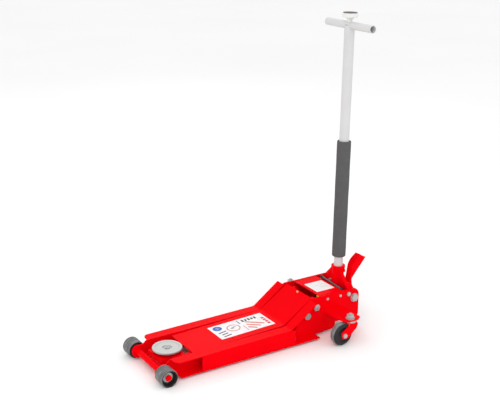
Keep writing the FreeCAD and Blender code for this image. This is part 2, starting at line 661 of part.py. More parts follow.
def arm_side_plates():
    """The two load-carrying plates under the cover, from the front pins to the crosshead pin."""
    v = VAL
    under = lowered(arm_line(), v["sheet_t"])
    mx, mz = v["main_x"], v["main_z"]
    cx, cz = mx + v["cross_dx"], mz + v["cross_dz"]
    rim = [(v["pin_x"] - 13.5, v["pin_z"] + 13.0, 13.0), (v["arm_x0"] + 3.0, v["pin_z"] + 13.0, 10.0),
           (v["arm_x0"] + 6.0, under[0][1] + 0.1), (*under[1], 30.0), (mx - 21.0, mz + 27.0, 10.0),
           (mx + 12.0, mz + 29.0, 22.0), (mx + 30.0, mz + 8.0, 20.0), (cx + 19.0, cz - 2.0, 12.0),
           (cx + 12.0, cz - 17.0, 12.0), (cx - 14.0, cz - 17.0, 12.0), (mx - 44.0, mz - 34.0, 30.0),
           (v["bend_x"] + 10.0, 34.0, 40.0), (v["arm_x0"] + 10.0, 28.0, 40.0),
           (v["pin_x"] + 16.0, v["pin_z"] - 13.0, 20.0), (v["pin_x"] - 13.5, v["pin_z"] - 13.0, 13.0)]
    plates = []
    for side in (LEFT, RIGHT):
        word = side_word(side)
        low, high = span(side, v["arm_plate_in"], v["arm_plate_in"] + v["arm_plate_t"])
        body = new_body(word + "_arm_plate")
        pad(body, word + "_arm_pad", "XZ_Plane", [rim], low, high)
        for i, (hx, hz, r) in enumerate(((v["pin_x"], v["pin_z"], v["pin_r"] + CLEAR),
                                         (mx, mz, 17.0 + 0.01), (cx, cz, v["cross_r"] + 0.01))):
            pocket(body, "%s_arm_hole_%d" % (word, i), "XZ_Plane", [ring(hx, hz, r)], low - 1, high + 1)
        plates.append(place(body))
    group("arm_side_plates", plates)


def arm_fittings():
    """Pivot tube, crosshead pin and grease nipple of the lift arm."""
    v = VAL
    reach = v["web_out"] - v["web_t"] - 0.6
    bore = v["main_r"] + CLEAR
    tube = [(bore, -reach), (17.0, -reach), (17.0, reach), (bore, reach)]
    place(turned("pivot_tube", tube, "arm_pivot_tube"), cell("main_x"), 0, cell("main_z"), ALONG_Y)
    half = v["arm_plate_in"] + v["arm_plate_t"] + 2.0
    pin = [(0, -half), (v["cross_r"], -half), (v["cross_r"], half), (0, half)]
    place(turned("crosshead_pin_body", pin, "crosshead_pin"), "Sizes.main_x + Sizes.cross_dx", 0,
          "Sizes.main_z + Sizes.cross_dz", ALONG_Y)
    climb = math.degrees(math.atan2(v["arm_end_z"] - v["arm_z1"], v["arm_end_x"] - v["bend_x"]))
    nipple = [(0, 0), (3.6, 0), (3.6, 2.4), (2.2, 2.8), (2.2, 4.2), (2.9, 5.2), (1.8, 6.6), (0, 6.6)]
    place(turned("nipple", nipple, "grease_nipple"), v["arm_end_x"] - 7.0, -2.0,
          v["arm_end_z"] - 7.0 * math.tan(math.radians(climb)) + 0.02, Rotation(Vector(0, 1, 0), -climb))


def arm_label():
    v = VAL
    rise = math.atan2(v["arm_z1"] - v["arm_z0"], v["bend_x"] - v["arm_x0"])
    start, end = 267.0, 497.0
    body = new_body("arm_label")
    pad(body, "arm_label_sheet", "XY_Plane",
        [[(0, -52, 2), ((end - start) / math.cos(rise), -52, 2), ((end - start) / math.cos(rise), 58, 2),
          (0, 58, 2)]], 0.0, 0.5)
    z = v["arm_z0"] + (start - v["arm_x0"]) * math.tan(rise) + 0.02
    node(place(body, start, 0, z, Rotation(Vector(0, 1, 0), -math.degrees(rise))), "arm_label")


# ---------------------------------------------------------------- radius rods, saddle bracket and saddle

def rod_ends():
    """The rear and the front eye of a radius rod."""
    v = VAL
    return ((v["main_x"] + v["rod_dx"], v["main_z"] + v["rod_dz"]),
            (v["pin_x"] + v["rod_dx"], v["pin_z"] + v["rod_dz"]))


def radius_rods():
    """Two cranked flat bars that keep the saddle level."""
    v = VAL
    (rx, rz), (fx, fz) = rod_ends()
    rim = [(fx - 10.0, fz - 10.0, 9.5), (fx - 10.0, fz + 10.0, 9.5), (fx + 26.0, fz + 10.0, 20.0),
           (500.0, 53.0, 60.0), (rx - 10.0, rz + 13.5, 16.0), (rx + 13.5, rz + 13.5, 13.0),
           (rx + 13.5, rz - 13.5, 13.0), (rx - 2.0, rz - 13.5, 16.0), (500.0, 34.0, 60.0),
           (fx + 26.0, fz - 8.0, 20.0)]
    bars = []
    for side in (LEFT, RIGHT):
        word = side_word(side)
        low, high = span(side, v["rod_in"], v["rod_in"] + v["rod_t"])
        body = new_body(word + "_rod")
        pad(body, word + "_rod_pad", "XZ_Plane", [rim], low, high)
        pocket(body, word + "_rod_rear", "XZ_Plane", [ring(rx, rz, 7.0 + CLEAR)], low - 1, high + 1)
        pocket(body, word + "_rod_front", "XZ_Plane", [ring(fx, fz, 5.3)], low - 1, high + 1)
        bars.append(place(body))
    group("radius_rods", bars)


def saddle_bracket():
    """The welded carrier under the saddle: two cheeks, a top plate and the saddle's boss."""
    v = VAL
    (_, _), (fx, fz) = rod_ends()
    px, pz = v["pin_x"], v["pin_z"]
    cheek = [(fx - 11.0, fz - 10.0, 10.0), (fx + 12.0, fz - 10.0, 10.0), (px + 34.0, pz - 20.0, 12.0),
             (px + 46.0, pz - 4.0, 6.0), (px + 46.0, 52.0, 3.0), (fx - 11.0, 52.0, 6.0)]
    body = new_body("saddle_carrier")
    pad(body, "carrier_top", "XY_Plane",
        [[(fx - 11.0, -50, 6.0), (px + 46.0, -50, 6.0), (px + 46.0, 50, 6.0), (fx - 11.0, 50, 6.0)]],
        46.0, 52.0)
    pad(body, "carrier_front", "YZ_Plane", [[(-44.0, 24.0), (44.0, 24.0), (44.0, 50.0), (-44.0, 50.0)]],
        fx - 11.0, fx - 6.0)
    for side in (LEFT, RIGHT):
        pad(body, side_word(side) + "_cheek", "XZ_Plane", [cheek], *span(side, 42.0, 50.0))
    boss_top = v["saddle_z"] - v["saddle_t"] - 0.3
    pad(body, "carrier_boss", "XY_Plane", [ring(v["saddle_x"], 0, 27.0)], 26.0, boss_top)
    pocket(body, "carrier_bore", "XY_Plane", [ring(v["saddle_x"], 0, v["stem_r"] + CLEAR)],
           25.0, boss_top + 1.0)
    for side in (LEFT, RIGHT):
        pocket(body, side_word(side) + "_pin_hole", "XZ_Plane", [ring(px, pz, v["pin_r"] + CLEAR)],
               *span(side, 41.0, 51.0))
    pocket(body, "carrier_pin_holes", "XZ_Plane", [ring(fx, fz, 5.0 + 0.01)], -51.0, 51.0)
    node(place(body), "saddle_bracket")


def front_pins():
    """The bolts that join the arm's fork to the carrier, and the long pin of the radius rods."""
    v = VAL
    (_, _), (fx, fz) = rod_ends()
    stubs = []
    for side in (LEFT, RIGHT):
        word = side_word(side)
        stub = headed_bolt(word + "_fork_pin", 15.0, 5.5, v["pin_r"], 23.4)
        stubs.append(place(stub, cell("pin_x"), side * 64.4, cell("pin_z"), outward(side)))
    group("arm_front_pins", stubs)
    half = 79.0
    pin = [(0, -half), (4.0, -half), (5.0, -half + 1), (5.0, half - 1), (4.0, half), (0, half)]
    place(turned("rod_pin", pin, "radius_rod_pin"), fx, 0, fz, ALONG_Y)


def saddle():
    """The dished steel saddle on its stem, with a low rim, and the screw in its middle."""
    v = VAL
    r, t = v["saddle_r"], v["saddle_t"]
    profile = [(5.0, -40.0), (v["stem_r"] - 1.0, -40.0), (v["stem_r"], -39.0), (v["stem_r"], -t),
               (r - 3.0, -t), (r, -t + 3.0), (r, -1.2), (r - 1.2, 0), (r - 9.0, 0), (r - 12.0, -2.4),
               (18.3, -2.4), (17.5, -3.2), (17.5, -6.0), (5.0, -6.0)]
    place(turned("saddle_body", profile, "saddle"), cell("saddle_x"), 0, cell("saddle_z"))
    screw = [(0, -22.0), (4.9, -22.0), (4.9, -5.95), (9.5, -5.95), (9.5, -1.8), (8.3, -1.0), (0, -1.0)]
    body = turned("saddle_screw_body", screw)
    pocket(body, "screw_socket", "XY_Plane", [hexagon(8.0)], -4.5, 0.0)
    node(place(body, cell("saddle_x"), 0, cell("saddle_z")), "saddle_screw")


# ---------------------------------------------------------------- casters

def caster(side):
    """Bearing ring, forked leg, axle bolt and wheel of one swivelling rear caster."""
    v = VAL
    word = side_word(side)
    cx, cy = v["cast_x"], side * v["cast_y"]
    ax, az = cx - v["cast_trail"], v["cast_r"]
    top = v["cast_plate_z"] - 4.0
    bore = 6.0 + CLEAR
    race = [(bore, 0), (22.0, 0), (24.0, 2.0), (24.0, 4.0), (21.0, 6.6), (bore, 6.6)]
    place(turned(word + "_race", race, word + "_caster_bearing"), cx, cy, top - 6.9)
    head_top = top - 7.0
    half = v["cast_w"] / 2.0 + 1.5
    leg_t = 3.5
    fork = new_body(word + "_fork")
    out = half + leg_t
    pad(fork, word + "_fork_top", "XY_Plane",
        [[(cx - 17, cy - out), (cx + 20, cy - out, 8.0), (cx + 20, cy + out, 8.0), (cx - 17, cy + out)]],
        head_top - leg_t, head_top)
    leg = [(cx - 17, head_top - leg_t), (cx + 20, head_top - leg_t), (cx + 14, head_top - 22.0, 16.0),
           (ax + 13.0, az - 15.0, 13.0), (ax - 13.0, az - 13.0, 13.0), (ax - 12.0, az + 13.0, 12.0)]
    for y0, y1 in ((cy - out, cy - half), (cy + half, cy + out)):
        pad(fork, "%s_leg_%s" % (word, "a" if y0 < cy - 1 and y1 < cy else "b"), "XZ_Plane", [leg], y0, y1)
    pocket(fork, word + "_fork_axle_hole", "XZ_Plane", [ring(ax, az, 5.0 + 0.01)], cy - out - 1, cy + out + 1)
    pocket(fork, word + "_fork_king_hole", "XY_Plane", [ring(cx, cy, bore)], head_top - 6.0, head_top + 1.0)
    node(place(fork), word + "_caster_fork")
    bolt = headed_bolt(word + "_caster_axle", 16.0, 6.0, 5.0, 2 * out + 7.0)
    place(bolt, ax, cy + side * out, az, outward(side))
    node(bolt, word + "_caster_axle_bolt")
    r, w = v["cast_r"], v["cast_w"]
    wheel = [(5.0 + CLEAR, 0.8), (11.0, 0.8), (13.0, 4.0), (27.0, 5.0), (29.0, 1.5), (r - 8.0, 0, 3.0),
             (r, 7.0, 10.0), (r, w - 7.0, 10.0), (r - 8.0, w, 3.0), (29.0, w - 1.5), (27.0, w - 5.0),
             (13.0, w - 4.0), (11.0, w - 0.8), (5.0 + CLEAR, w - 0.8)]
    place(turned(word + "_roller", wheel, word + "_caster_wheel"), ax, cy - w / 2.0, az, ALONG_Y)


# ---------------------------------------------------------------- handle

def pole_point(height):
    """A point of the leaning handle axis at a height above the floor."""
    v = VAL
    lean = math.tan(math.radians(v["pole_lean"]))
    return v["pole_x"] + (height - v["pole_z"]) * lean, 0.0, height


def on_pole(piece, height):
    x, y, z = pole_point(height)
    return place(piece, x, y, z, LEAN)


def pole_length(low, high):
    return (high - low) / math.cos(math.radians(VAL["pole_lean"]))


def yoke():
    """The folded and welded handle yoke: front sheet, folded sides, tie plate, cam arms and socket."""
    v = VAL
    x0 = v["yoke_front"]
    half, t = v["yoke_half"], 5.0
    foot, shoulder, peak, neck = 96.0, 152.0, 212.0, 24.0
    outer = [(-half, foot), (-half, shoulder, 8.0), (-neck, peak), (neck, peak), (half, shoulder, 8.0),
             (half, foot)]
    inner = [(-half + t, foot - 1), (-half + t, shoulder - 2, 4.0), (-neck + 4.0, peak - 6.0),
             (neck - 4.0, peak - 6.0), (half - t, shoulder - 2, 4.0), (half - t, foot - 1)]
    body = new_body("yoke")
    back = x0 + v["yoke_depth"]
    pad(body, "yoke_shell", "YZ_Plane", [outer], x0, back)
    pocket(body, "yoke_inside", "YZ_Plane", [inner], x0 + t, back + 1.0)
    window = [(-half + t, foot - 1), (-half + t, 132.0), (half - t, 132.0), (half - t, foot - 1)]
    pocket(body, "yoke_window", "YZ_Plane", [window], x0 - 1, x0 + 6.0)
    yx, yz = v["yoke_x"], v["yoke_z"]
    ear = [(x0, 100.0, 4.0), (x0, 145.0), (back, 145.0, 4.0), (yx + 17.0, yz + 14.0, 8.0),
           (yx + 17.0, yz - 17.0, 16.0), (yx - 10.0, yz - 17.0, 10.0)]
    for side in (LEFT, RIGHT):
        pad(body, side_word(side) + "_ear", "XZ_Plane", [ear], *span(side, half - t, half))
    pad(body, "yoke_tie", "XY_Plane", [[(x0, -26), (846, -26), (846, half - t + 0.5), (x0, half - t + 0.5)]],
        v["pole_z"] - 2.5, v["pole_z"] + 2.5)
    notch = [(x0 + 15.0, v["pedal_y0"] - 3.0), (back + 1.0, v["pedal_y0"] - 3.0),
             (back + 1.0, v["pedal_y1"] + 3.0), (x0 + 15.0, v["pedal_y1"] + 3.0)]
    pocket(body, "pedal_notch", "XY_Plane", [notch], 150.0, peak + 3.0)
    pocket(body, "clamp_hole", "YZ_Plane", [ring(27.0, 157.0, 4.0 + CLEAR)], x0 - 1.0, x0 + t + 1.0)
    roller_z = yz - v["cam_drop"]
    arm = [(yx - 6.5, roller_z - 6.5, 6.4), (yx + 6.5, roller_z - 6.5, 6.4), (yx + 6.5, roller_z + 6.0, 6.0),
           (yx + 12.0, yz - 2.0, 8.0), (yx + 12.0, v["pole_z"]), (yx - 12.0, v["pole_z"]),
           (yx - 12.0, yz - 2.0, 8.0), (yx - 6.5, roller_z + 6.0, 6.0)]
    for i, low in enumerate((10.5, 33.0)):
        pad(body, "cam_arm_%d" % i, "XZ_Plane", [arm], low, low + 5.0)
    pad(body, "roller_pin", "XZ_Plane", [ring(yx, roller_z, 3.5)], 12.0, 38.5)
    pocket(body, "pivot_holes", "XZ_Plane", [ring(yx, yz, v["yoke_pin_r"] + CLEAR)], -half - 1, half + 1)
    tube = rod("socket_tube", cell("socket_r"), pole_length(v["pole_z"], v["pole_z"] + v["socket_len"] - 3))
    on_pole(tube, v["pole_z"])
    collar = rod("socket_collar", cell("collar_r"), 11.0)
    on_pole(collar, v["pole_z"] + v["socket_len"] - 11.0)
    bore = rod("socket_bore", "Sizes.low_tube_r + 0.1", 120.0)
    on_pole(bore, v["pole_z"] + 3.5)
    rod_hole = rod("release_rod_hole", 5.6, 20.0)
    on_pole(rod_hole, v["pole_z"] - 10.0)
    mass = doc.addObject("Part::MultiFuse", "yoke_weldment")
    mass.Shapes = [place(body), tube, collar]
    node(cut("yoke_drilled", cut("yoke_bored", mass, bore), rod_hole), "handle_yoke")


def yoke_small_parts():
    """The clamp bolt through the yoke's front sheet, and the cam roller between the cam arms."""
    v = VAL
    bolt = headed_bolt("clamp_bolt", 10.5, 6.0, 4.0, 7.0)
    toward_front = Rotation(Vector(0, 0, 1), Vector(-1, 0, 0))
    place(bolt, v["yoke_front"], 27.0, 157.0, toward_front)
    node(bolt, "yoke_clamp_bolt")
    roller = [(3.5 + CLEAR, 16.0), (v["cam_r"] - 0.6, 16.0), (v["cam_r"], 16.6), (v["cam_r"], 31.9),
              (v["cam_r"] - 0.6, 32.5), (3.5 + CLEAR, 32.5)]
    place(turned("roller", roller, "cam_roller"), cell("yoke_x"), 0, "Sizes.yoke_z - Sizes.cam_drop", ALONG_Y)


def tube_piece(name, label, outer, inner, low, high):
    shell = rod(name + "_outer", outer, pole_length(low, high))
    hole = rod(name + "_inner", inner, pole_length(low, high) + 4.0)
    on_pole(shell, low)
    on_pole(hole, low - 2.0)
    piece = cut(name, shell, hole)
    if label:
        node(piece, label)
    return piece


def handle():
    """The two handle tubes, the foam grip, the cross bar, the release rod and its knob."""
    v = VAL
    tube_piece("low_tube", "handle_lower_tube", cell("low_tube_r"), "Sizes.low_tube_r - Sizes.tube_wall",
               156.0, 430.0)
    top = tube_piece("top_tube", None, cell("top_tube_r"), "Sizes.low_tube_r + 0.05", 300.0, 1150.0)
    saddle_cut = rod("bar_notch", "Sizes.bar_r + 0.02", 80.0)
    bx, _, bz = pole_point(v["bar_z"])
    place(saddle_cut, bx, -40.0, bz, ALONG_Y)
    coped = cut("coped_tube", top, saddle_cut)
    node(coped, "handle_upper_tube")
    tube_piece("foam", "handle_grip", cell("grip_r"), "Sizes.top_tube_r + 0.05", v["grip_z0"], v["grip_z1"])
    bar = rod("bar_outer", cell("bar_r"), "2 * Sizes.bar_half")
    place(bar, bx, "-Sizes.bar_half", bz, ALONG_Y)
    hole = rod("bar_inner", "Sizes.bar_r - 2.2", "2 * Sizes.bar_half + 4")
    place(hole, bx, "-Sizes.bar_half - 2", bz, ALONG_Y)
    top_hole = rod("bar_top_hole", 9.1, 24.0)
    on_pole(top_hole, v["bar_z"])
    low_hole = rod("bar_low_hole", 5.1, 30.0)
    on_pole(low_hole, v["bar_z"] - 25.0)
    holes = doc.addObject("Part::MultiFuse", "bar_holes")
    holes.Shapes = [hole, top_hole, low_hole]
    node(cut("cross_bar", bar, holes), "handle_cross_bar")
    shaft = rod("release_rod_body", 5.0, pole_length(134.0, 1158.0))
    node(on_pole(shaft, 134.0), "release_rod")


def knob():
    """The lobed release knob on its conical neck, and the cap in its top."""
    v = VAL
    r = v["knob_r"]
    base = 1158.05
    profile = [(0, 0), (9.0, 0), (9.0, 10.0), (15.0, 19.0), (r - 2.5, 20.5), (r, 23.0), (r, 34.5, 2.0),
               (r - 3.0, 37.0, 2.0), (20.5, 37.0), (20.5, 35.0), (0, 35.0)]
    body = turned("knob_body", profile)
    scallop = sketch_on(body, "scallop_sketch", "XY_Plane", [ring(r + 6.2, 0, 8.0)], 40.0)
    step = body.newObject("PartDesign::Pocket", "scallop")
    step.Profile = scallop
    step.Length = 22.0
    doc.recompute()
    lobes = body.newObject("PartDesign::PolarPattern", "scallops")
    lobes.Originals = [step]
    lobes.Axis = (plane_of(body, "Z_Axis"), "")
    lobes.Angle = 360
    lobes.Occurrences = 8
    body.Tip = lobes
    doc.recompute()
    node(on_pole(body, base), "release_knob")
    cap = turned("knob_cap_body", [(0, 0), (20.3, 0), (20.3, 2.6), (18.8, 3.6), (0, 4.4)])
    node(on_pole(cap, base + 35.05), "release_knob_cap")


def pedal():
    """The foot pedal: a curved tread sheet between two side webs that reach down to the pivot."""
    v = VAL
    yx, yz = v["yoke_x"], v["yoke_z"]
    y0, y1 = v["pedal_y0"], v["pedal_y1"]
    t = 3.5
    top_front, top_rear = (884.0, 273.0), (908.0, 260.0)
    web = [(yx - 15.0, yz - 15.0, 15.0), (yx - 15.0, yz + 14.0, 14.0), (838.0, 182.0, 30.0),
           (848.0, 246.0, 60.0), (*top_front, 2.0), (*top_rear, 2.0), (843.0, 184.0, 12.0),
           (yx + 15.0, yz + 14.0, 14.0), (yx + 15.0, yz - 15.0, 15.0)]
    body = new_body("pedal")
    pad(body, "pedal_webs", "XZ_Plane", [web], y0, y1)
    hollow = [(yx - 30.0, yz - 30.0), (yx - 30.0, 166.0), (835.5, 166.0), (838.0 + t, 188.0, 20.0),
              (850.5 + t, 244.0, 60.0), (882.0, 268.0), (904.0, 275.0), (930.0, 262.0), (860.0, 170.0), (yx + 30.0, yz - 30.0)]
    pocket(body, "pedal_hollow", "XZ_Plane", [hollow], y0 + t, y1 - t)
    pad(body, "pedal_hub", "XZ_Plane", [ring(yx, yz, 12.5)], y0, y1)
    pocket(body, "pedal_bore", "XZ_Plane", [ring(yx, yz, v["yoke_pin_r"] + CLEAR)], y0 - 1, y1 + 1)
    node(place(body), "foot_pedal")


# ---------------------------------------------------------------- the whole jack

for hand in (LEFT, RIGHT):
    side_plate(hand)
    front_wheel(hand)
    caster_bracket(hand)
    caster(hand)
boxing_plates()
front_axle()
axle_rings()
rear_cover()
screws_and_bolts()
caster_king_bolts()
deck_rod()
labels()
pump_block()
hydraulic_unit()
springs()
arm_cover()
arm_side_plates()
arm_fittings()
arm_label()
radius_rods()
saddle_bracket()
front_pins()
saddle()
yoke()
yoke_small_parts()
handle()
knob()
pedal()
doc.recompute()

for thing in doc.Objects:
    if "Invalid" in thing.State or "Error" in thing.State:
        raise RuntimeError("%s failed: %s" % (thing.Name, thing.State))
os.makedirs(OUT, exist_ok=True)
for old in os.listdir(OUT):
    if old.endswith(".step"):
        os.remove(os.path.join(OUT, old))
box = FreeCAD.BoundBox()
for piece in nodes:
    shape = piece.Shape
    if shape.isNull() or not shape.isValid():
        raise RuntimeError(piece.Label + " has no valid shape")
    shape.exportStep(os.path.join(OUT, piece.Label + ".step"))
    box.add(shape.optimalBoundingBox(False))
    if len(shape.Solids) > 1:
        print("%s: %d solids" % (piece.Label, len(shape.Solids)))
print("%d nodes, box X %.2f..%.2f Y %.2f..%.2f Z %.2f..%.2f" %
      (len(nodes), box.XMin, box.XMax, box.YMin, box.YMax, box.ZMin, box.ZMax))
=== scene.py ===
"""Trolley jack: finishes, label print, foam grip, weld seams, pedal tread, small caps and studio."""
import json
import math

import bpy
from bpy.props import FloatProperty, FloatVectorProperty, IntProperty, PointerProperty
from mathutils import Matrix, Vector


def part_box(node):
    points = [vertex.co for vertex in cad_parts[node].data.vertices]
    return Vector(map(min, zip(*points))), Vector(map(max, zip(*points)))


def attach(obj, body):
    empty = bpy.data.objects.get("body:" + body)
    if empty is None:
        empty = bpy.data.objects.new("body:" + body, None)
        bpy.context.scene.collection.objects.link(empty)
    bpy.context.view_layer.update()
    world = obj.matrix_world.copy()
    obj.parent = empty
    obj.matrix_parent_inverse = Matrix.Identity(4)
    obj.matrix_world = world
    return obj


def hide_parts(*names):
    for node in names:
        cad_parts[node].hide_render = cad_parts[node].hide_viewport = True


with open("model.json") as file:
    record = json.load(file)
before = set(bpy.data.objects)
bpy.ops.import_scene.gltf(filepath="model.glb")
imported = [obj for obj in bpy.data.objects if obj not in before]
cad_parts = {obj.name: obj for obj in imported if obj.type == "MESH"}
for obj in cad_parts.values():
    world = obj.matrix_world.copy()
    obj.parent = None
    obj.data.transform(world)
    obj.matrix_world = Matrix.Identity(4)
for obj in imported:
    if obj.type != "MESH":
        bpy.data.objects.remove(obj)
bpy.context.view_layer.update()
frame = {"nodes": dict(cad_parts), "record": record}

MM = 0.001

bl_info = {
    "name": "Trolley Jack Workshop",
    "version": (1, 0, 0),
    "blender": (4, 5, 0),
    "location": "View3D > Sidebar > Jack",
    "description": "Finishes a low-profile trolley jack with paint, labels, welds, grip and studio",
    "category": "Object",
}


def joint(name):
    """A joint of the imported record."""
    return next(j for j in frame["record"]["behaviour"]["joints"] if j["name"] == name)


POLE_FOOT = Vector(joint("release_turn")["pos_m"])
POLE_UP = Vector(joint("release_turn")["axis"]).normalized()
SADDLE_MIDDLE = Vector(joint("saddle_turn")["pos_m"])
YOKE_PIVOT = Vector(joint("handle_swing")["pos_m"])

WEB_FACE = 93.0 * MM            # outer face of a side plate, from the middle plane
AXLE_WELD_Y = 100.3 * MM        # weld round the front axle, from the middle plane
AXLE_WELD_R = 12.2 * MM
BOX_FACE = 130.3 * MM           # weld at the foot of a boxing plate, from the middle plane
TACK_FIRST, TACK_STEP, TACK_LENGTH = 16.0 * MM, 118.0 * MM, 14.0 * MM
WHEEL_RIM = 30.5 * MM           # where a wheel's running surface begins, from its axle
CASTER_RIM = 42.4 * MM
RIM_BLEND = 1.6 * MM
PEDAL_HUB = YOKE_PIVOT + Vector((62.0, 0.0, 80.0)) * MM    # middle of the pedal's curved face
PEDAL_REACH = 0.2               # where the lines that look for that face start
GRIP_SKIN = 0.3 * MM            # how far the foam stays inside its CAD solid
GRIP_ENDS = 1.2 * MM
GRIP_WAVES = 7.0
DOUBLES = 1e-6                  # points nearer than this are one point


def corners(node):
    """A CAD node's lowest and highest corners at rest."""
    return tuple(Vector(corner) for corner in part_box(node))


def middle(node):
    low, high = corners(node)
    return (low + high) / 2.0


def in_mm(stations):
    """Stations of (distance along, radius) given in millimetres."""
    return [(run * MM, radius * MM) for run, radius in stations]


# ------------------------------------------------------------------ sizes and colours

class JackPaint(bpy.types.PropertyGroup):
    """Colours of the jack's finishes."""
    enamel: FloatVectorProperty(name="Enamel", description="Red of the welded steel", subtype="COLOR",
                                size=3, default=(0.88, 0.0, 0.004), min=0.0, max=1.0)
    tube: FloatVectorProperty(name="Tube", description="Light grey of the handle tubes", subtype="COLOR",
                              size=3, default=(0.62, 0.62, 0.62), min=0.0, max=1.0)
    foam: FloatVectorProperty(name="Foam", description="Grey of the foam grip", subtype="COLOR",
                              size=3, default=(0.085, 0.085, 0.087), min=0.0, max=1.0)
    vinyl: FloatVectorProperty(name="Vinyl", description="White of the label stock", subtype="COLOR",
                               size=3, default=(0.88, 0.88, 0.88), min=0.0, max=1.0)
    blue_ink: FloatVectorProperty(name="Blue ink", description="Blue of the label print", subtype="COLOR",
                                  size=3, default=(0.005, 0.09, 0.50), min=0.0, max=1.0)
    red_ink: FloatVectorProperty(name="Red ink", description="Red of the label print", subtype="COLOR",
                                 size=3, default=(0.70, 0.01, 0.012), min=0.0, max=1.0)
    black_ink: FloatVectorProperty(name="Black ink", description="Black of the label print",
                                   subtype="COLOR", size=3, default=(0.015, 0.015, 0.016), min=0.0, max=1.0)


class JackSizes(bpy.types.PropertyGroup):
    """Sizes of the pieces that are modelled here."""
    grip_round: FloatProperty(name="Grip rounding", description="Rounding of the foam grip's ends",
                              default=3.5 * MM, unit="LENGTH")
    grip_swell: FloatProperty(name="Grip swell", description="How far the foam bulges between its ends",
                              default=0.25 * MM, unit="LENGTH")
    bead: FloatProperty(name="Weld bead", description="Radius of a weld bead", default=2.2 * MM,
                        unit="LENGTH")
    ripple: FloatProperty(name="Weld ripple", description="Distance between the ripples of a bead",
                          default=2.4 * MM, unit="LENGTH")
    tread_rows: IntProperty(name="Tread rows", description="Rows of raised lozenges on the pedal",
                            default=13, min=1)
    tread_stud: FloatProperty(name="Tread stud", description="Length of a raised lozenge",
                              default=8.0 * MM, unit="LENGTH")
    ink: FloatProperty(name="Ink", description="Thickness of the printed ink", default=0.3 * MM,
                       unit="LENGTH")


# ------------------------------------------------------------------ modelling steps

def select_only(*things):
    bpy.ops.object.select_all(action="DESELECT")
    for thing in things:
        thing.select_set(True)
    bpy.context.view_layer.objects.active = things[-1] if things else None


def edit():
    bpy.ops.object.mode_set(mode="EDIT")
    bpy.ops.mesh.select_mode(type="VERT")


def leave_edit():
    bpy.ops.object.mode_set(mode="OBJECT")


def clean():
    """Merges doubled points and turns every face outwards."""
    edit()
    bpy.ops.mesh.select_all(action="SELECT")
    bpy.ops.mesh.remove_doubles(threshold=DOUBLES)
    bpy.ops.mesh.normals_make_consistent(inside=False)
    leave_edit()


def apply_place(piece):
    select_only(piece)
    bpy.ops.object.transform_apply(location=True, rotation=True, scale=True)


def turned(name, stations, start, along, segments=48, closed=False):
    """A round piece: a disc is extruded through stations of (distance along, radius).

    With closed, the last station meets the first, and the piece is a ring.
    """
    bpy.ops.object.select_all(action="DESELECT")
    turn = Vector((0, 0, 1)).rotation_difference(along).to_euler()
    first_run, first_radius = stations[0]
    bpy.ops.mesh.primitive_circle_add(vertices=segments, radius=first_radius,
                                      fill_type="NOTHING" if closed else "NGON",
                                      location=start + along * first_run, rotation=turn)
    piece = bpy.context.object
    piece.name = name
    apply_place(piece)
    edit()
    bpy.ops.mesh.select_all(action="SELECT")
    for (run_before, radius_before), (run, radius) in zip(stations, stations[1:]):
        bpy.ops.mesh.extrude_region_move(TRANSFORM_OT_translate={"value": along * (run - run_before)})
        bpy.ops.transform.resize(value=(radius / radius_before,) * 3,
                                 center_override=start + along * run)
    leave_edit()
    clean()
    return piece


def block(name, size, place, turn=(0, 0, 0)):
    """A box of that size, centred at that place, ready to be shaped."""
    bpy.ops.object.select_all(action="DESELECT")
    bpy.ops.mesh.primitive_cube_add(size=1.0, location=place, rotation=turn)
    piece = bpy.context.object
    piece.name = name
    piece.scale = size
    apply_place(piece)
    return piece


def joined(name, pieces):
    """Several meshes as one piece."""
    select_only(*pieces)
    if len(pieces) > 1:
        bpy.ops.object.join()
    piece = bpy.context.object
    piece.name = name
    return piece


def finished(piece, material, body, smooth=30.0):
    """Gives a piece its finish and hangs it on its body."""
    piece.data.materials.clear()
    piece.data.materials.append(material)
    select_only(piece)
    bpy.ops.object.shade_smooth_by_angle(angle=math.radians(smooth))
    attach(piece, body)
    return piece


def hit(node, start, direction):
    """Where a line meets a CAD node, and the surface's normal there."""
    found, place, normal, _ = frame["nodes"][node].ray_cast(start, direction)
    if not found:
        raise RuntimeError("nothing of %s lies that way" % node)
    return place, normal


# ------------------------------------------------------------------ node helpers

def add(tree, kind, inputs=None, **settings):
    node = tree.nodes.new(kind)
    for key, value in settings.items():
        setattr(node, key, value)
    for key, value in (inputs or {}).items():
        if hasattr(value, "is_output"):
            tree.links.new(value, node.inputs[key])
        else:
            node.inputs[key].default_value = value
    return node


def maths(tree, operation, a, b, c=None):
    inputs = {0: a, 1: b}
    if c is not None:
        inputs[2] = c
    return add(tree, "ShaderNodeMath", inputs, operation=operation).outputs[0]


def ramp(tree, value, low, high):
    """Stretches a value so that low becomes 0 and high becomes 1."""
    node = add(tree, "ShaderNodeMapRange", {"Value": value, "From Min": low, "From Max": high})
    return node.outputs["Result"]


def mix_colours(tree, mask, first, second):
    node = add(tree, "ShaderNodeMix", {"Factor": mask}, data_type="RGBA")
    for socket, colour in ((node.inputs["A"], first), (node.inputs["B"], second)):
        if hasattr(colour, "is_output"):
            tree.links.new(colour, socket)
        else:
            socket.default_value = (*colour, 1.0)
    return node.outputs["Result"]


def new_group(name, inputs, outputs):
    """An empty effect with named number inputs and outputs, and its two end nodes."""
    tree = bpy.data.node_groups.new(name, "ShaderNodeTree")
    for label, default in inputs:
        kind = "NodeSocketVector" if label == "Vector" else "NodeSocketFloat"
        socket = tree.interface.new_socket(name=label, in_out="INPUT", socket_type=kind)
        if label != "Vector":
            socket.default_value = default
    for label in outputs:
        tree.interface.new_socket(name=label, in_out="OUTPUT", socket_type="NodeSocketFloat")
    return tree, tree.nodes.new("NodeGroupInput"), tree.nodes.new("NodeGroupOutput")


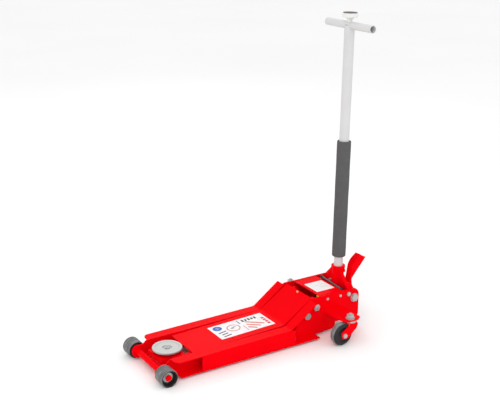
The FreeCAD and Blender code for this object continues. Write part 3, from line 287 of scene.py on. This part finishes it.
def from_axis(tree, vector, first, second):
    """The distance from an axis, from the two coordinates across it."""
    parts = add(tree, "ShaderNodeSeparateXYZ", {"Vector": vector})
    flat = add(tree, "ShaderNodeCombineXYZ", {"X": parts.outputs[first], "Y": parts.outputs[second]})
    length = add(tree, "ShaderNodeVectorMath", {0: flat.outputs["Vector"]}, operation="LENGTH")
    return length.outputs["Value"]


def use(tree, group, vector, **values):
    """Places a shared effect in a material, with its own values."""
    node = tree.nodes.new("ShaderNodeGroup")
    node.node_tree = bpy.data.node_groups[group]
    tree.links.new(vector, node.inputs["Vector"])
    for key, value in values.items():
        node.inputs[key].default_value = value
    return node


def build_effects():
    """The shared effects: sprayed skin, scuffs, lathe grooves and the lighter rim of a wheel, partly wear and
    partly painted sheen.
    """
    tree, start, end = new_group("sprayed skin", [("Vector", None), ("Size", 300.0), ("Cloud size", 9.0)],
                                 ["Peel", "Cloud"])
    peel = add(tree, "ShaderNodeTexNoise", {"Vector": start.outputs["Vector"], "Scale": start.outputs["Size"],
                                            "Detail": 2.0, "Roughness": 0.45})
    cloud = add(tree, "ShaderNodeTexNoise", {"Vector": start.outputs["Vector"],
                                             "Scale": start.outputs["Cloud size"], "Detail": 4.0})
    tree.links.new(peel.outputs["Fac"], end.inputs["Peel"])
    tree.links.new(ramp(tree, cloud.outputs["Fac"], 0.3, 0.7), end.inputs["Cloud"])

    tree, start, end = new_group("scuffs", [("Vector", None), ("Size", 60.0), ("Amount", 0.5)],
                                 ["Mask", "Fine"])
    broad = add(tree, "ShaderNodeTexNoise", {"Vector": start.outputs["Vector"],
                                             "Scale": start.outputs["Size"], "Detail": 6.0,
                                             "Roughness": 0.7, "Distortion": 0.6})
    fine = add(tree, "ShaderNodeTexNoise", {"Vector": start.outputs["Vector"], "Scale": 900.0,
                                            "Detail": 3.0, "Roughness": 0.6})
    level = maths(tree, "SUBTRACT", 1.0, start.outputs["Amount"])
    over = maths(tree, "SUBTRACT", broad.outputs["Fac"], maths(tree, "MULTIPLY", level, 0.8))
    mask = add(tree, "ShaderNodeClamp", {"Value": maths(tree, "MULTIPLY", over, 8.0)})
    tree.links.new(mask.outputs["Result"], end.inputs["Mask"])
    tree.links.new(fine.outputs["Fac"], end.inputs["Fine"])

    tree, start, end = new_group("lathe grooves", [("Vector", None), ("Pitch", 0.001)], ["Groove", "Band"])
    radius = from_axis(tree, start.outputs["Vector"], "X", "Y")
    turns = maths(tree, "DIVIDE", radius, start.outputs["Pitch"])
    angle = maths(tree, "MULTIPLY", turns, 2.0 * math.pi)
    groove = add(tree, "ShaderNodeMath", {0: angle}, operation="SINE").outputs[0]
    band = add(tree, "ShaderNodeTexNoise", {"W": maths(tree, "MULTIPLY", radius, 420.0), "Scale": 1.0,
                                            "Detail": 3.0}, noise_dimensions="1D")
    tree.links.new(ramp(tree, groove, -1.0, 1.0), end.inputs["Groove"])
    tree.links.new(band.outputs["Fac"], end.inputs["Band"])

    # Rim mask: where a wheel's running surface is painted lighter grey, partly for wear and partly as painted
    # sheen.
    tree, start, end = new_group("rim wear and sheen", [("Vector", None), ("Rim", 0.03)], ["Mask"])
    radius = from_axis(tree, start.outputs["Vector"], "X", "Z")
    inner = maths(tree, "SUBTRACT", start.outputs["Rim"], RIM_BLEND)
    tree.links.new(ramp(tree, radius, inner, start.outputs["Rim"]), end.inputs["Mask"])


def new_material(name, roughness, metallic, specular):
    """A material with its shader, and Object coordinates to draw on."""
    material = bpy.data.materials.new(name)
    material.use_nodes = True
    tree = material.node_tree
    shader = tree.nodes["Principled BSDF"]
    shader.inputs["Roughness"].default_value = roughness
    shader.inputs["Metallic"].default_value = metallic
    shader.inputs["Specular IOR Level"].default_value = specular
    place = tree.nodes.new("ShaderNodeTexCoord").outputs["Object"]
    return material, tree, shader, place


def bump(tree, shader, height, strength, depth):
    node = add(tree, "ShaderNodeBump", {"Height": height, "Strength": strength, "Distance": depth})
    tree.links.new(node.outputs["Normal"], shader.inputs["Normal"])


def link_colour(tree, shader, colour):
    tree.links.new(colour, shader.inputs["Base Color"])


def shade(colour, factor):
    """A colour made darker or lighter."""
    return tuple(min(1.0, c * factor) for c in colour)


# ------------------------------------------------------------------ finishes

def enamel(name, colour):
    """Glossy enamel with a faint orange peel and slightly uneven cover."""
    material, tree, shader, place = new_material(name, 0.32, 0.0, 0.015)
    skin = use(tree, "sprayed skin", place, Size=420.0)
    scuff = use(tree, "scuffs", place, Size=34.0, Amount=0.32)
    tone = mix_colours(tree, skin.outputs["Cloud"], shade(colour, 0.93), colour)
    link_colour(tree, shader, tone)
    rough = maths(tree, "MULTIPLY_ADD", scuff.outputs["Mask"], 0.12, 0.30)
    tree.links.new(rough, shader.inputs["Roughness"])
    bump(tree, shader, skin.outputs["Peel"], 0.08, 0.25 * MM)
    return material


def tube_coat(paint):
    """Light grey satin coat of the handle tubes."""
    material, tree, shader, place = new_material("grey tube coat", 0.38, 0.0, 0.25)
    skin = use(tree, "sprayed skin", place, Size=600.0)
    link_colour(tree, shader, mix_colours(tree, skin.outputs["Cloud"], shade(paint.tube, 0.94), paint.tube))
    bump(tree, shader, skin.outputs["Peel"], 0.1, 0.2 * MM)
    return material


def plated(name, colour, roughness, dull=0.8, metallic=0.6):
    """Plated or bare steel with dull patches and fine handling marks."""
    material, tree, shader, place = new_material(name, roughness, metallic, 0.3)
    scuff = use(tree, "scuffs", place, Size=150.0, Amount=0.55)
    link_colour(tree, shader, mix_colours(tree, scuff.outputs["Mask"], colour, shade(colour, dull)))
    rough = maths(tree, "MULTIPLY_ADD", scuff.outputs["Fine"], 0.22, roughness - 0.08)
    tree.links.new(rough, shader.inputs["Roughness"])
    bump(tree, shader, scuff.outputs["Fine"], 0.12, 0.1 * MM)
    return material


def turned_steel(name, colour, centre, pitch):
    """Steel faced on a lathe: rings about an upright axis through centre."""
    material, tree, shader, place = new_material(name, 0.42, 0.35, 0.2)
    centred = add(tree, "ShaderNodeMapping", {"Vector": place, "Location": tuple(-c for c in centre)})
    rings = use(tree, "lathe grooves", centred.outputs["Vector"], Pitch=pitch)
    band = rings.outputs["Band"]
    link_colour(tree, shader, mix_colours(tree, band, shade(colour, 0.62), shade(colour, 1.12)))
    tree.links.new(maths(tree, "MULTIPLY_ADD", band, 0.3, 0.28), shader.inputs["Roughness"])
    bump(tree, shader, rings.outputs["Groove"], 0.25, 0.12 * MM)
    return material


def rolled_wheel(name, colour, worn_and_sheen_grey, centre, rim):
    """A wheel about a cross axle through centre: black on its sides, lighter grey on its rim, partly wear and
    partly painted sheen.
    """
    material, tree, shader, place = new_material(name, 0.5, 0.0, 0.3)
    centred = add(tree, "ShaderNodeMapping", {"Vector": place, "Location": tuple(-c for c in centre)})
    rim_wear_and_sheen = use(tree, "rim wear and sheen", centred.outputs["Vector"], Rim=rim)
    stretched = add(tree, "ShaderNodeMapping", {"Vector": place, "Scale": (1.0, 9.0, 1.0)})
    scuff = use(tree, "scuffs", stretched.outputs["Vector"], Size=24.0, Amount=0.42)
    # The rim's lighter grey is partly wear and partly a painted sheen of light on the running surface.
    tread = mix_colours(tree, scuff.outputs["Mask"], shade(worn_and_sheen_grey, 0.45), shade(worn_and_sheen_grey, 1.1))
    side = mix_colours(tree, scuff.outputs["Mask"], colour, shade(colour, 1.6))
    link_colour(tree, shader, mix_colours(tree, rim_wear_and_sheen.outputs["Mask"], side, tread))
    tree.links.new(maths(tree, "MULTIPLY_ADD", scuff.outputs["Fine"], 0.3, 0.34), shader.inputs["Roughness"])
    bump(tree, shader, scuff.outputs["Fine"], 0.3, 0.3 * MM)
    return material


def moulded(name, colour, roughness, grain=700.0):
    """Moulded plastic with a faint grain."""
    material, tree, shader, place = new_material(name, roughness, 0.0, 0.45)
    skin = use(tree, "sprayed skin", place, Size=grain)
    link_colour(tree, shader, mix_colours(tree, skin.outputs["Cloud"], shade(colour, 0.88), colour))
    bump(tree, shader, skin.outputs["Peel"], 0.25, 0.15 * MM)
    return material


def cell_foam(paint):
    """Closed-cell foam: small pits in a soft dark skin, painted darker in the pits as painted shade."""
    material, tree, shader, place = new_material("foam", 0.85, 0.0, 0.25)
    cells = add(tree, "ShaderNodeTexVoronoi", {"Vector": place, "Scale": 520.0})
    skin = use(tree, "sprayed skin", place, Size=900.0, **{"Cloud size": 22.0})
    pits_and_pit_shade = ramp(tree, cells.outputs["Distance"], 0.0, 0.55)
    # The pits are painted darker: painted shade in the hollows of the cells.
    tone = mix_colours(tree, pits_and_pit_shade, shade(paint.foam, 0.6), shade(paint.foam, 1.25))
    link_colour(tree, shader, mix_colours(tree, maths(tree, "MULTIPLY", skin.outputs["Cloud"], 0.3), tone,
                                          shade(paint.foam, 0.8)))
    bump(tree, shader, pits_and_pit_shade, 0.5, 0.5 * MM)
    return material


def print_ink(name, colour):
    """Screen-printed ink: nearly even, with a slightly broken edge gloss."""
    material, tree, shader, place = new_material(name, 0.4, 0.0, 0.35)
    skin = use(tree, "sprayed skin", place, Size=500.0, **{"Cloud size": 60.0})
    link_colour(tree, shader, mix_colours(tree, skin.outputs["Cloud"], shade(colour, 0.85), colour))
    bump(tree, shader, skin.outputs["Peel"], 0.08, 0.05 * MM)
    return material


FINISH = {}


class JACK_OT_finishes(bpy.types.Operator):
    """Builds every finish and paints the CAD pieces with them"""
    bl_idname = "jack.finishes"
    bl_label = "Paint the jack"

    def execute(self, context):
        paint = context.scene.jack_paint
        build_effects()
        axle, caster = middle("left_front_wheel"), middle("left_caster_wheel")
        wheel_black = (0.012, 0.012, 0.013)
        FINISH.update({
            "red_paint": enamel("red enamel", paint.enamel),
            # The tread studs are painted a darker red: painted shade on the pedal's front face.
            "tread red with painted shade": enamel("tread enamel with painted shade", shade(paint.enamel, 0.30)),
            "handle_paint": tube_coat(paint),
            "zinc_fasteners": plated("zinc plate", (0.62, 0.62, 0.61), 0.34, 0.7, 0.5),
            "bare_steel": plated("oiled steel", (0.22, 0.22, 0.23), 0.38, 0.6, 0.7),
            "chromed_rod": plated("hard chrome", (0.86, 0.87, 0.88), 0.14, 0.92, 1.0),
            "cast_saddle": turned_steel("faced saddle steel", (0.60, 0.60, 0.585), SADDLE_MIDDLE, 2.2 * MM),
            "black_casting": moulded("satin black casting", (0.03, 0.03, 0.032), 0.5, 380.0),
            # The grey of the wheel rims below is partly wear and partly painted sheen.
            "wheel_steel": rolled_wheel("dark wheel steel", wheel_black, (0.21, 0.21, 0.21), axle,
                                        WHEEL_RIM),
            "caster_polymer": rolled_wheel("black wheel tread", wheel_black, (0.26, 0.26, 0.26), caster,
                                           CASTER_RIM),
            "black_sleeve": moulded("black moulding", (0.02, 0.02, 0.021), 0.45),
            "label_white": print_ink("white vinyl", paint.vinyl),
            "brass_nipple": plated("yellow plate", (0.80, 0.72, 0.40), 0.3),
            "foam": cell_foam(paint),
            "knob_plastic": moulded("white moulding", (0.80, 0.80, 0.78), 0.35),
            "brown moulding": moulded("brown moulding", (0.11, 0.06, 0.055), 0.45),
            "yellow moulding": moulded("yellow moulding", (0.80, 0.55, 0.02), 0.4),
            "blue ink": print_ink("blue ink", paint.blue_ink),
            "red ink": print_ink("red ink", paint.red_ink),
            "black ink": print_ink("black ink", paint.black_ink),
        })
        for part in frame["record"]["subparts"]:
            mesh = frame["nodes"][part["node"]].data
            mesh.materials.clear()
            mesh.materials.append(FINISH[part["material_slot"]])
        return {"FINISHED"}


class JACK_OT_foam_grip(bpy.types.Operator):
    """Models the foam grip, slightly bulged, with rounded and hollowed ends"""
    bl_idname = "jack.foam_grip"
    bl_label = "Foam grip"

    def execute(self, context):
        sizes = context.scene.jack_sizes
        low, high = corners("handle_grip")
        radius = (high.y - low.y) / 2.0 - GRIP_SKIN
        lean = POLE_UP.z
        start = POLE_FOOT + POLE_UP * ((low.z - POLE_FOOT.z + GRIP_ENDS) / lean)
        length = (high.z - low.z - 2.0 * GRIP_ENDS) / lean
        tube_low, tube_high = corners("handle_upper_tube")
        inner = (tube_high.y - tube_low.y) / 2.0 + 0.1 * MM
        rounding, rings = sizes.grip_round, 24
        outside = []
        for i in range(rings + 1):
            share = i / rings
            bulge = sizes.grip_swell * math.sin(GRIP_WAVES * math.pi * share)
            outside.append((rounding + (length - 2.0 * rounding) * share, radius - sizes.grip_swell + bulge))
        corner = [(rounding * (1.0 - math.cos(a)), rounding * (1.0 - math.sin(a)))
                  for a in (math.radians(d) for d in (0, 30, 60))]
        foot = [(run, outside[0][1] - inset) for run, inset in corner]
        head = [(length - run, outside[-1][1] - inset) for run, inset in reversed(corner)]
        bore = [(length - 1.5 * MM, inner + 3 * MM), (length - 3.0 * MM, inner), (3.0 * MM, inner),
                (1.5 * MM, inner + 3 * MM)]
        outline = foot + outside + head + bore + foot[:1]
        grip = turned("foam_grip", outline, start, POLE_UP, 64, closed=True)
        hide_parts("handle_grip")
        finished(grip, FINISH["foam"], "handle", 50.0)
        return {"FINISHED"}


class JACK_OT_weld_seams(bpy.types.Operator):
    """Lays rippled weld beads round the front axle, along the tops of the caster brackets and at the foot of
    the boxing plates
    """
    bl_idname = "jack.weld_seams"
    bl_label = "Weld seams"

    def bead(self, name, start, end, body, scale=1.0):
        """A straight bead between two places, thinner at its ends and between its ripples."""
        sizes = bpy.context.scene.jack_sizes
        run = (end - start).length
        count = max(2, int(run / sizes.ripple))
        stations = []
        for i in range(2 * count + 1):
            swell = 1.0 if i % 2 else 0.82
            swell *= 0.6 if i in (0, 2 * count) else 1.0
            stations.append((run * i / (2 * count), sizes.bead * scale * swell))
        bead = turned(name, stations, start, (end - start).normalized(), 10)
        return finished(bead, FINISH["red_paint"], body, 70.0)

    def collar(self, name, centre, along, radius, body, scale=1.0):
        """A bead that goes once round a shaft or tube."""
        sizes = bpy.context.scene.jack_sizes
        bpy.ops.object.select_all(action="DESELECT")
        turn = Vector((0, 0, 1)).rotation_difference(along).to_euler()
        steps = 2 * int(math.pi * radius / sizes.ripple)
        bpy.ops.mesh.primitive_torus_add(major_segments=steps, minor_segments=10, major_radius=radius,
                                         minor_radius=sizes.bead * scale, location=centre, rotation=turn)
        ring = bpy.context.object
        ring.name = name
        apply_place(ring)
        for vertex in ring.data.vertices:
            vertex.select = (vertex.index // 10) % 2 == 0
        edit()
        bpy.ops.transform.shrink_fatten(value=-0.16 * sizes.bead * scale)
        leave_edit()
        return finished(ring, FINISH["red_paint"], body, 70.0)

    def execute(self, context):
        for side, word in ((-1, "left"), (1, "right")):
            axle = middle("front_axle")
            self.collar(word + "_axle_weld", Vector((axle.x, side * AXLE_WELD_Y, axle.z)),
                        Vector((0, 1, 0)), AXLE_WELD_R, "frame", 0.8)
            low, high = corners(word + "_caster_bracket")
            self.bead(word + "_bracket_weld", Vector((low.x + 3 * MM, side * WEB_FACE, high.z)),
                      Vector((high.x - 3 * MM, side * WEB_FACE, high.z)), "frame")
            foot, _ = corners("boxing_plates")
            for i in range(4):
                tack = Vector((foot.x + TACK_FIRST + TACK_STEP * i, side * BOX_FACE, foot.z))
                self.bead("%s_tack_%d" % (word, i), tack, tack + Vector((TACK_LENGTH, 0, 0)), "frame",
                          0.9)
        return {"FINISHED"}


class JACK_OT_pedal_tread(bpy.types.Operator):
    """Raises staggered lozenges on the front face of the foot pedal, painted a darker red as painted shade"""
    bl_idname = "jack.pedal_tread"
    bl_label = "Pedal tread"

    def execute(self, context):
        sizes = context.scene.jack_sizes
        low, high = corners("foot_pedal")
        studs = []
        first, last = math.radians(200), math.radians(104)
        for row in range(sizes.tread_rows):
            angle = first + (last - first) * row / (sizes.tread_rows - 1)
            direction = Vector((math.cos(angle), 0, math.sin(angle)))
            offsets = (-0.3, 0.0, 0.3) if row % 2 else (-0.15, 0.15)
            for offset in offsets:
                y = (low.y + high.y) / 2.0 + offset * (high.y - low.y)
                start = Vector((PEDAL_HUB.x, y, PEDAL_HUB.z)) + direction * PEDAL_REACH
                place, normal = hit("foot_pedal", start, -direction)
                turn = normal.to_track_quat("Z", "Y").to_euler()
                bpy.ops.object.select_all(action="DESELECT")
                bpy.ops.mesh.primitive_cone_add(vertices=4, radius1=0.5, radius2=0.32, depth=1.0,
                                                location=place + normal * 0.25 * MM, rotation=turn)
                stud = bpy.context.object
                lean = 0.42 if (row % 2) else 0.62
                stud.scale = (sizes.tread_stud * lean, sizes.tread_stud * (1.04 - lean), 1.1 * MM)
                apply_place(stud)
                studs.append(stud)
        tread = joined("pedal_tread", studs)
        clean()
        # The studs get the darker red: painted shade on the pedal's front face.
        finished(tread, FINISH["tread red with painted shade"], "pedal", 20.0)
        return {"FINISHED"}


class JACK_OT_label_print(bpy.types.Operator):
    """Prints plain marks on the arm label and the deck label"""
    bl_idname = "jack.label_print"
    bl_label = "Label print"

    def on_label(self, node, along, across):
        """A place on top of a label, from shares of its length and width."""
        low, high = corners(node)
        start = Vector((low.x + (high.x - low.x) * along, low.y + (high.y - low.y) * across,
                        high.z + 20.0 * MM))
        return hit(node, start, Vector((0, 0, -1)))

    def bar(self, node, along, across, length, width, turn=0.0, layer=1):
        """A printed bar, with its length and width in millimetres and its turn in degrees."""
        place, normal = self.on_label(node, along, across)
        ink = bpy.context.scene.jack_sizes.ink
        pitch = math.atan2(normal.x, normal.z)
        mark = block("mark", (length * MM, width * MM, ink * layer), (0, 0, 0), (0, 0, math.radians(turn)))
        mark.rotation_euler = (0, pitch, 0)
        mark.location = place + normal * ink * layer * 0.5
        apply_place(mark)
        return mark

    def disc(self, node, along, across, outer, inner=None):
        """A printed disc, or a ring if it has an inner radius, in millimetres."""
        place, normal = self.on_label(node, along, across)
        ink = bpy.context.scene.jack_sizes.ink
        outline = [(0.0, outer * MM), (ink, outer * MM)]
        if inner is None:
            return turned("mark", outline, place, normal, 40)
        outline = [(0.0, inner * MM), *outline, (ink, inner * MM), (0.0, inner * MM)]
        return turned("mark", outline, place, normal, 40, closed=True)

    def execute(self, context):
        arm, deck = "arm_label", "deck_label"
        blue = self.disc(arm, 0.12, 0.76, 17.5)
        finished(joined("arm_print_blue", [blue]), FINISH["blue ink"], "lift_arm")
        white = [self.bar(arm, 0.12, 0.72 + 0.08 * i, 15.0, 1.4, 16.0, 2) for i in range(2)]
        finished(joined("arm_print_white", white), FINISH["label_white"], "lift_arm")
        red = [self.disc(arm, 0.357, 0.52, 26.0, 22.6)]
        red += [self.bar(arm, 0.744 - 0.056 * i, 0.47 - 0.135 * i, 74.0 - 20.0 * i, 6.5, -42.0)
                for i in range(3)]
        red += [self.bar(arm, 0.935, 0.19 + 0.145 * i, 12.0, 11.0) for i in range(4)]
        red += [self.bar(arm, 0.530, 0.30, 2.6, 40.0)]
        finished(joined("arm_print_red", red), FINISH["red ink"], "lift_arm")
        black = [self.bar(arm, 0.13 + 0.01 * i, 0.44 - 0.15 * i, 34.0 - 8.0 * (i % 2), 5.4, 8.0)
                 for i in range(3)]
        black += [self.bar(arm, 0.335, 0.52, 14.0, 3.6), self.bar(arm, 0.375, 0.58, 16.0, 3.0)]
        black += [self.bar(arm, 0.605 + 0.058 * i, 0.80, 8.0, 17.0 - 3.0 * (i % 2)) for i in range(5)]
        black += [self.bar(arm, 0.520, 0.80, 3.4, 30.0)]
        finished(joined("arm_print_black", black), FINISH["black ink"], "lift_arm")
        grey = [self.bar(deck, 0.16 + 0.105 * i, 0.5, 1.1, 66.0 - 8.0 * (i % 3)) for i in range(7)]
        finished(joined("deck_print", grey), FINISH["handle_paint"], "frame")
        return {"FINISHED"}


class JACK_OT_pivot_caps(bpy.types.Operator):
    """Presses domed caps over the ends of the lift arm's pivot shaft"""
    bl_idname = "jack.pivot_caps"
    bl_label = "Pivot caps"

    def execute(self, context):
        low, high = corners("main_pivot_shaft")
        centre = middle("main_pivot_shaft")
        dome = in_mm([(0.0, 11.6), (1.2, 11.8), (2.4, 10.8), (3.2, 8.4), (3.6, 4.5)])
        caps = [turned("cap", dome, Vector((centre.x, y, centre.z)), Vector((0, way, 0)), 40)
                for y, way in ((low.y, -1.0), (high.y, 1.0))]
        finished(joined("pivot_end_caps", caps), FINISH["zinc_fasteners"], "frame")
        return {"FINISHED"}


class JACK_OT_knob_face(bpy.types.Operator):
    """Lays the dark ring on top of the release knob, around its cap"""
    bl_idname = "jack.knob_face"
    bl_label = "Knob face"

    def execute(self, context):
        _, top = corners("release_knob")
        start = POLE_FOOT + POLE_UP * ((top.z - POLE_FOOT.z) / POLE_UP.z - 0.7 * MM)
        outline = in_mm([(0.0, 19.6), (0.0, 26.2), (0.7, 27.0), (1.5, 26.2), (1.5, 19.6), (0.0, 19.6)])
        face = turned("knob_face", outline, start, POLE_UP, 64, closed=True)
        finished(face, FINISH["brown moulding"], "release")
        return {"FINISHED"}


class JACK_OT_edge_clip(bpy.types.Operator):
    """Puts the small yellow clip under the front edge of the rear cover"""
    bl_idname = "jack.edge_clip"
    bl_label = "Edge clip"

    def execute(self, context):
        low, high = corners("rear_cover")
        centre = Vector((low.x + 2.0 * MM, low.y + 14.0 * MM, high.z - 6.5 * MM))
        clip = block("cover_edge_clip", (6 * MM, 15 * MM, 7 * MM), centre)
        edit()
        bpy.ops.mesh.select_all(action="SELECT")
        bpy.ops.mesh.bevel(offset=0.8 * MM, segments=2)
        leave_edit()
        clean()
        finished(clip, FINISH["yellow moulding"], "frame")
        return {"FINISHED"}


class JACK_OT_studio(bpy.types.Operator):
    """Sets up the pale floor, the soft lights and the camera"""
    bl_idname = "jack.studio"
    bl_label = "Studio"

    def softbox(self, name, place, aim, size, power):
        """A round soft light of that size in metres and power in watts."""
        light = bpy.data.lights.new(name, "AREA")
        light.shape = "DISK"
        light.size = size
        light.energy = power
        lamp = bpy.data.objects.new(name, light)
        lamp.location = place
        lamp.rotation_euler = (Vector(aim) - Vector(place)).to_track_quat("-Z", "Y").to_euler()
        bpy.context.collection.objects.link(lamp)

    def execute(self, context):
        bpy.ops.object.select_all(action="DESELECT")
        bpy.ops.mesh.primitive_plane_add(size=60.0, location=(0, 0, -0.0005))
        floor = context.object
        floor.name = "studio_floor"
        material, tree, shader, place = new_material("pale floor", 0.9, 0.0, 0.1)
        skin = use(tree, "sprayed skin", place, Size=60.0, **{"Cloud size": 0.7})
        link_colour(tree, shader, mix_colours(tree, skin.outputs["Cloud"], (0.93,) * 3, (0.95,) * 3))
        floor.data.materials.append(material)
        world = bpy.data.worlds.new("studio")
        world.use_nodes = True
        back = world.node_tree.nodes["Background"]
        back.inputs["Color"].default_value = (1.0, 1.0, 1.0, 1.0)
        back.inputs["Strength"].default_value = 1.0
        context.scene.world = world
        self.softbox("key", (-2.6, -3.2, 3.6), (0, 0, 0.3), 2.6, 60.0)
        self.softbox("fill", (3.2, -3.0, 2.2), (0, 0, 0.3), 2.4, 8.0)
        self.softbox("rim", (1.5, 3.6, 3.0), (0, 0, 0.4), 2.0, 12.0)
        camera = bpy.data.cameras.new("camera")
        camera.sensor_width = 36.0
        camera.lens = 69.85
        camera.clip_end = 100.0
        eye = bpy.data.objects.new("camera", camera)
        eye.location = (-1.7675, -2.8034, 1.6308)
        eye.rotation_euler = (math.radians(72.024), 0.0, math.radians(-31.943))
        context.collection.objects.link(eye)
        context.scene.camera = eye
        context.scene.view_settings.view_transform = "Standard"
        return {"FINISHED"}


PIECES = (JACK_OT_finishes, JACK_OT_foam_grip, JACK_OT_weld_seams, JACK_OT_pedal_tread,
          JACK_OT_label_print, JACK_OT_pivot_caps, JACK_OT_knob_face, JACK_OT_edge_clip,
          JACK_OT_studio)


class JACK_PT_workshop(bpy.types.Panel):
    """Lists the steps that finish the jack"""
    bl_label = "Trolley Jack"
    bl_idname = "JACK_PT_workshop"
    bl_space_type = "VIEW_3D"
    bl_region_type = "UI"
    bl_category = "Jack"

    def draw(self, context):
        for piece in PIECES:
            self.layout.operator(piece.bl_idname)
        for group in (context.scene.jack_paint, context.scene.jack_sizes):
            for name in group.__annotations__:
                self.layout.prop(group, name)


CLASSES = (JackPaint, JackSizes, *PIECES, JACK_PT_workshop)


def register():
    for kind in CLASSES:
        bpy.utils.register_class(kind)
    bpy.types.Scene.jack_paint = PointerProperty(type=JackPaint)
    bpy.types.Scene.jack_sizes = PointerProperty(type=JackSizes)


def unregister():
    del bpy.types.Scene.jack_sizes
    del bpy.types.Scene.jack_paint
    for kind in reversed(CLASSES):
        bpy.utils.unregister_class(kind)


def main():
    register()
    for piece in PIECES:
        group, step = piece.bl_idname.split(".")
        getattr(getattr(bpy.ops, group), step)()


if __name__ == "__main__":
    main()
